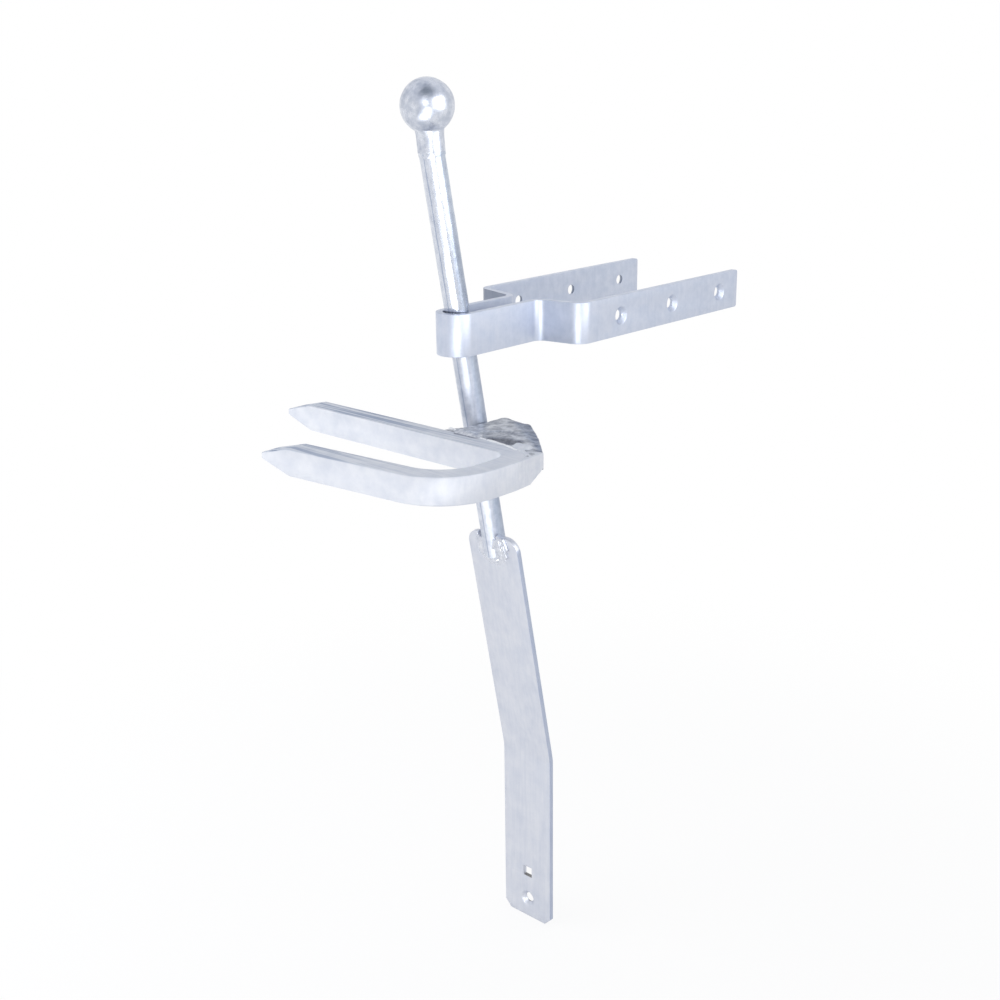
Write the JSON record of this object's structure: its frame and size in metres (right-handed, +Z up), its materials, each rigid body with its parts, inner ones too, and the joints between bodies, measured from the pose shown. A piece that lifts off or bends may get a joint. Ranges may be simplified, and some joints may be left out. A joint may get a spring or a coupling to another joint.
{
  "type": "spring loaded gate latch",
  "caption": "Galvanised gate latch: a ball-topped rod on a flat spring leaf, guided by a rail strap, springs behind the hook of a drive-in staple.",
  "frame": {"origin": "middle of the lower edge of the spring leaf's back face, which lies on the gate's stile", "axes": "+X along the gate's rail away from the post, +Y through the gate towards the side the prongs point to, +Z up"},
  "size_m": [0.4081, 0.2495, 0.6893],
  "materials": {
    "galvanised_flat": "hot-dip galvanised, satin with faint spangle",
    "galvanised_rod": "hot-dip galvanised, brighter with long runs",
    "galvanised_ball": "hot-dip galvanised, bright",
    "galvanised_bar": "hot-dip galvanised, satin",
    "galvanised_plate": "hot-dip galvanised over a cut plate, uneven",
    "galvanised_weld": "hot-dip galvanised over rippled weld"
  },
  "bodies": {
    "fixed": {"spring_leaf": "galvanised_flat", "guide_strap": "galvanised_flat", "catch_staple": "galvanised_bar", "catch_hook": "galvanised_plate", "arm_weld": "galvanised_weld", "end_weld": "galvanised_weld"},
    "swing": {"latch_rod": "galvanised_rod", "ball_knob": "galvanised_ball", "knob_weld": "galvanised_weld", "rod_weld": "galvanised_weld"}
  },
  "joints": [
    {"name": "leaf_flex", "type": "hinge", "parent": "fixed", "child": "swing", "pos_m": [-0.0063, 0, 0.178], "axis": [0, 1, 0], "range_deg": [-0.2, 8.5], "stiffness_Nm_per_rad": 197, "deforming": ["spring_leaf"]}
  ]
}
